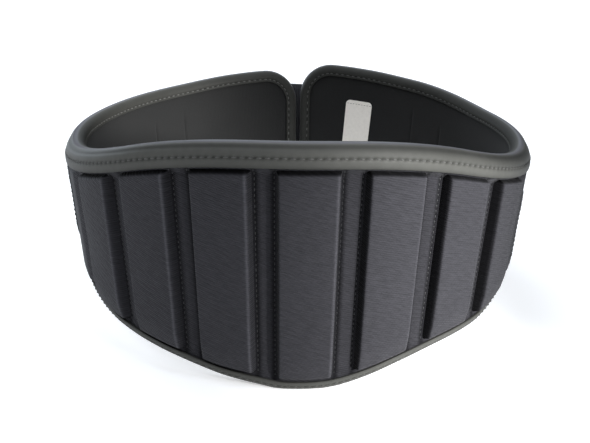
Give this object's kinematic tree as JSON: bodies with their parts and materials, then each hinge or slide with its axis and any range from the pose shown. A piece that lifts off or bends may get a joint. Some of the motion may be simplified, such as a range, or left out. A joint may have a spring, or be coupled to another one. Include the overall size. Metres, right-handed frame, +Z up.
{
  "type": "weightlifting belt",
  "caption": "Contoured foam lifting belt, fastened into a ring: bound edges, raised pads across a tall back, webbing strap with a loop buckle over the low front.",
  "frame": {"origin": "middle of the box of the belt on its resting plane, within 1 mm of the ring's axis", "axes": "+Z up along the ring's axis, -Y towards the middle of the belt's tall back, +Y towards the gap between its two ends, +X to the wearer's right"},
  "size_m": [0.2932, 0.3012, 0.1506],
  "materials": {
    "woven_cover": "black twill woven nylon, matt",
    "knit_lining": "black brushed knit, matt",
    "binding_tape": "smooth dark grey synthetic leather tape, satin",
    "webbing": "black woven webbing, matt",
    "buckle_black": "black painted steel, satin",
    "label_cloth": "bare white woven label, matt"
  },
  "bodies": {
    "root": {"foam_wall": "woven_cover", "lining": "knit_lining", "edge_binding": "binding_tape", "pad_1": "woven_cover", "pad_2": "woven_cover", "pad_3": "woven_cover", "pad_4": "woven_cover", "pad_5": "woven_cover", "pad_6": "woven_cover", "pad_7": "woven_cover", "buckle_strap": "webbing", "closing_strap": "webbing", "loop_buckle": "buckle_black", "label": "label_cloth"}
  },
  "joints": []
}
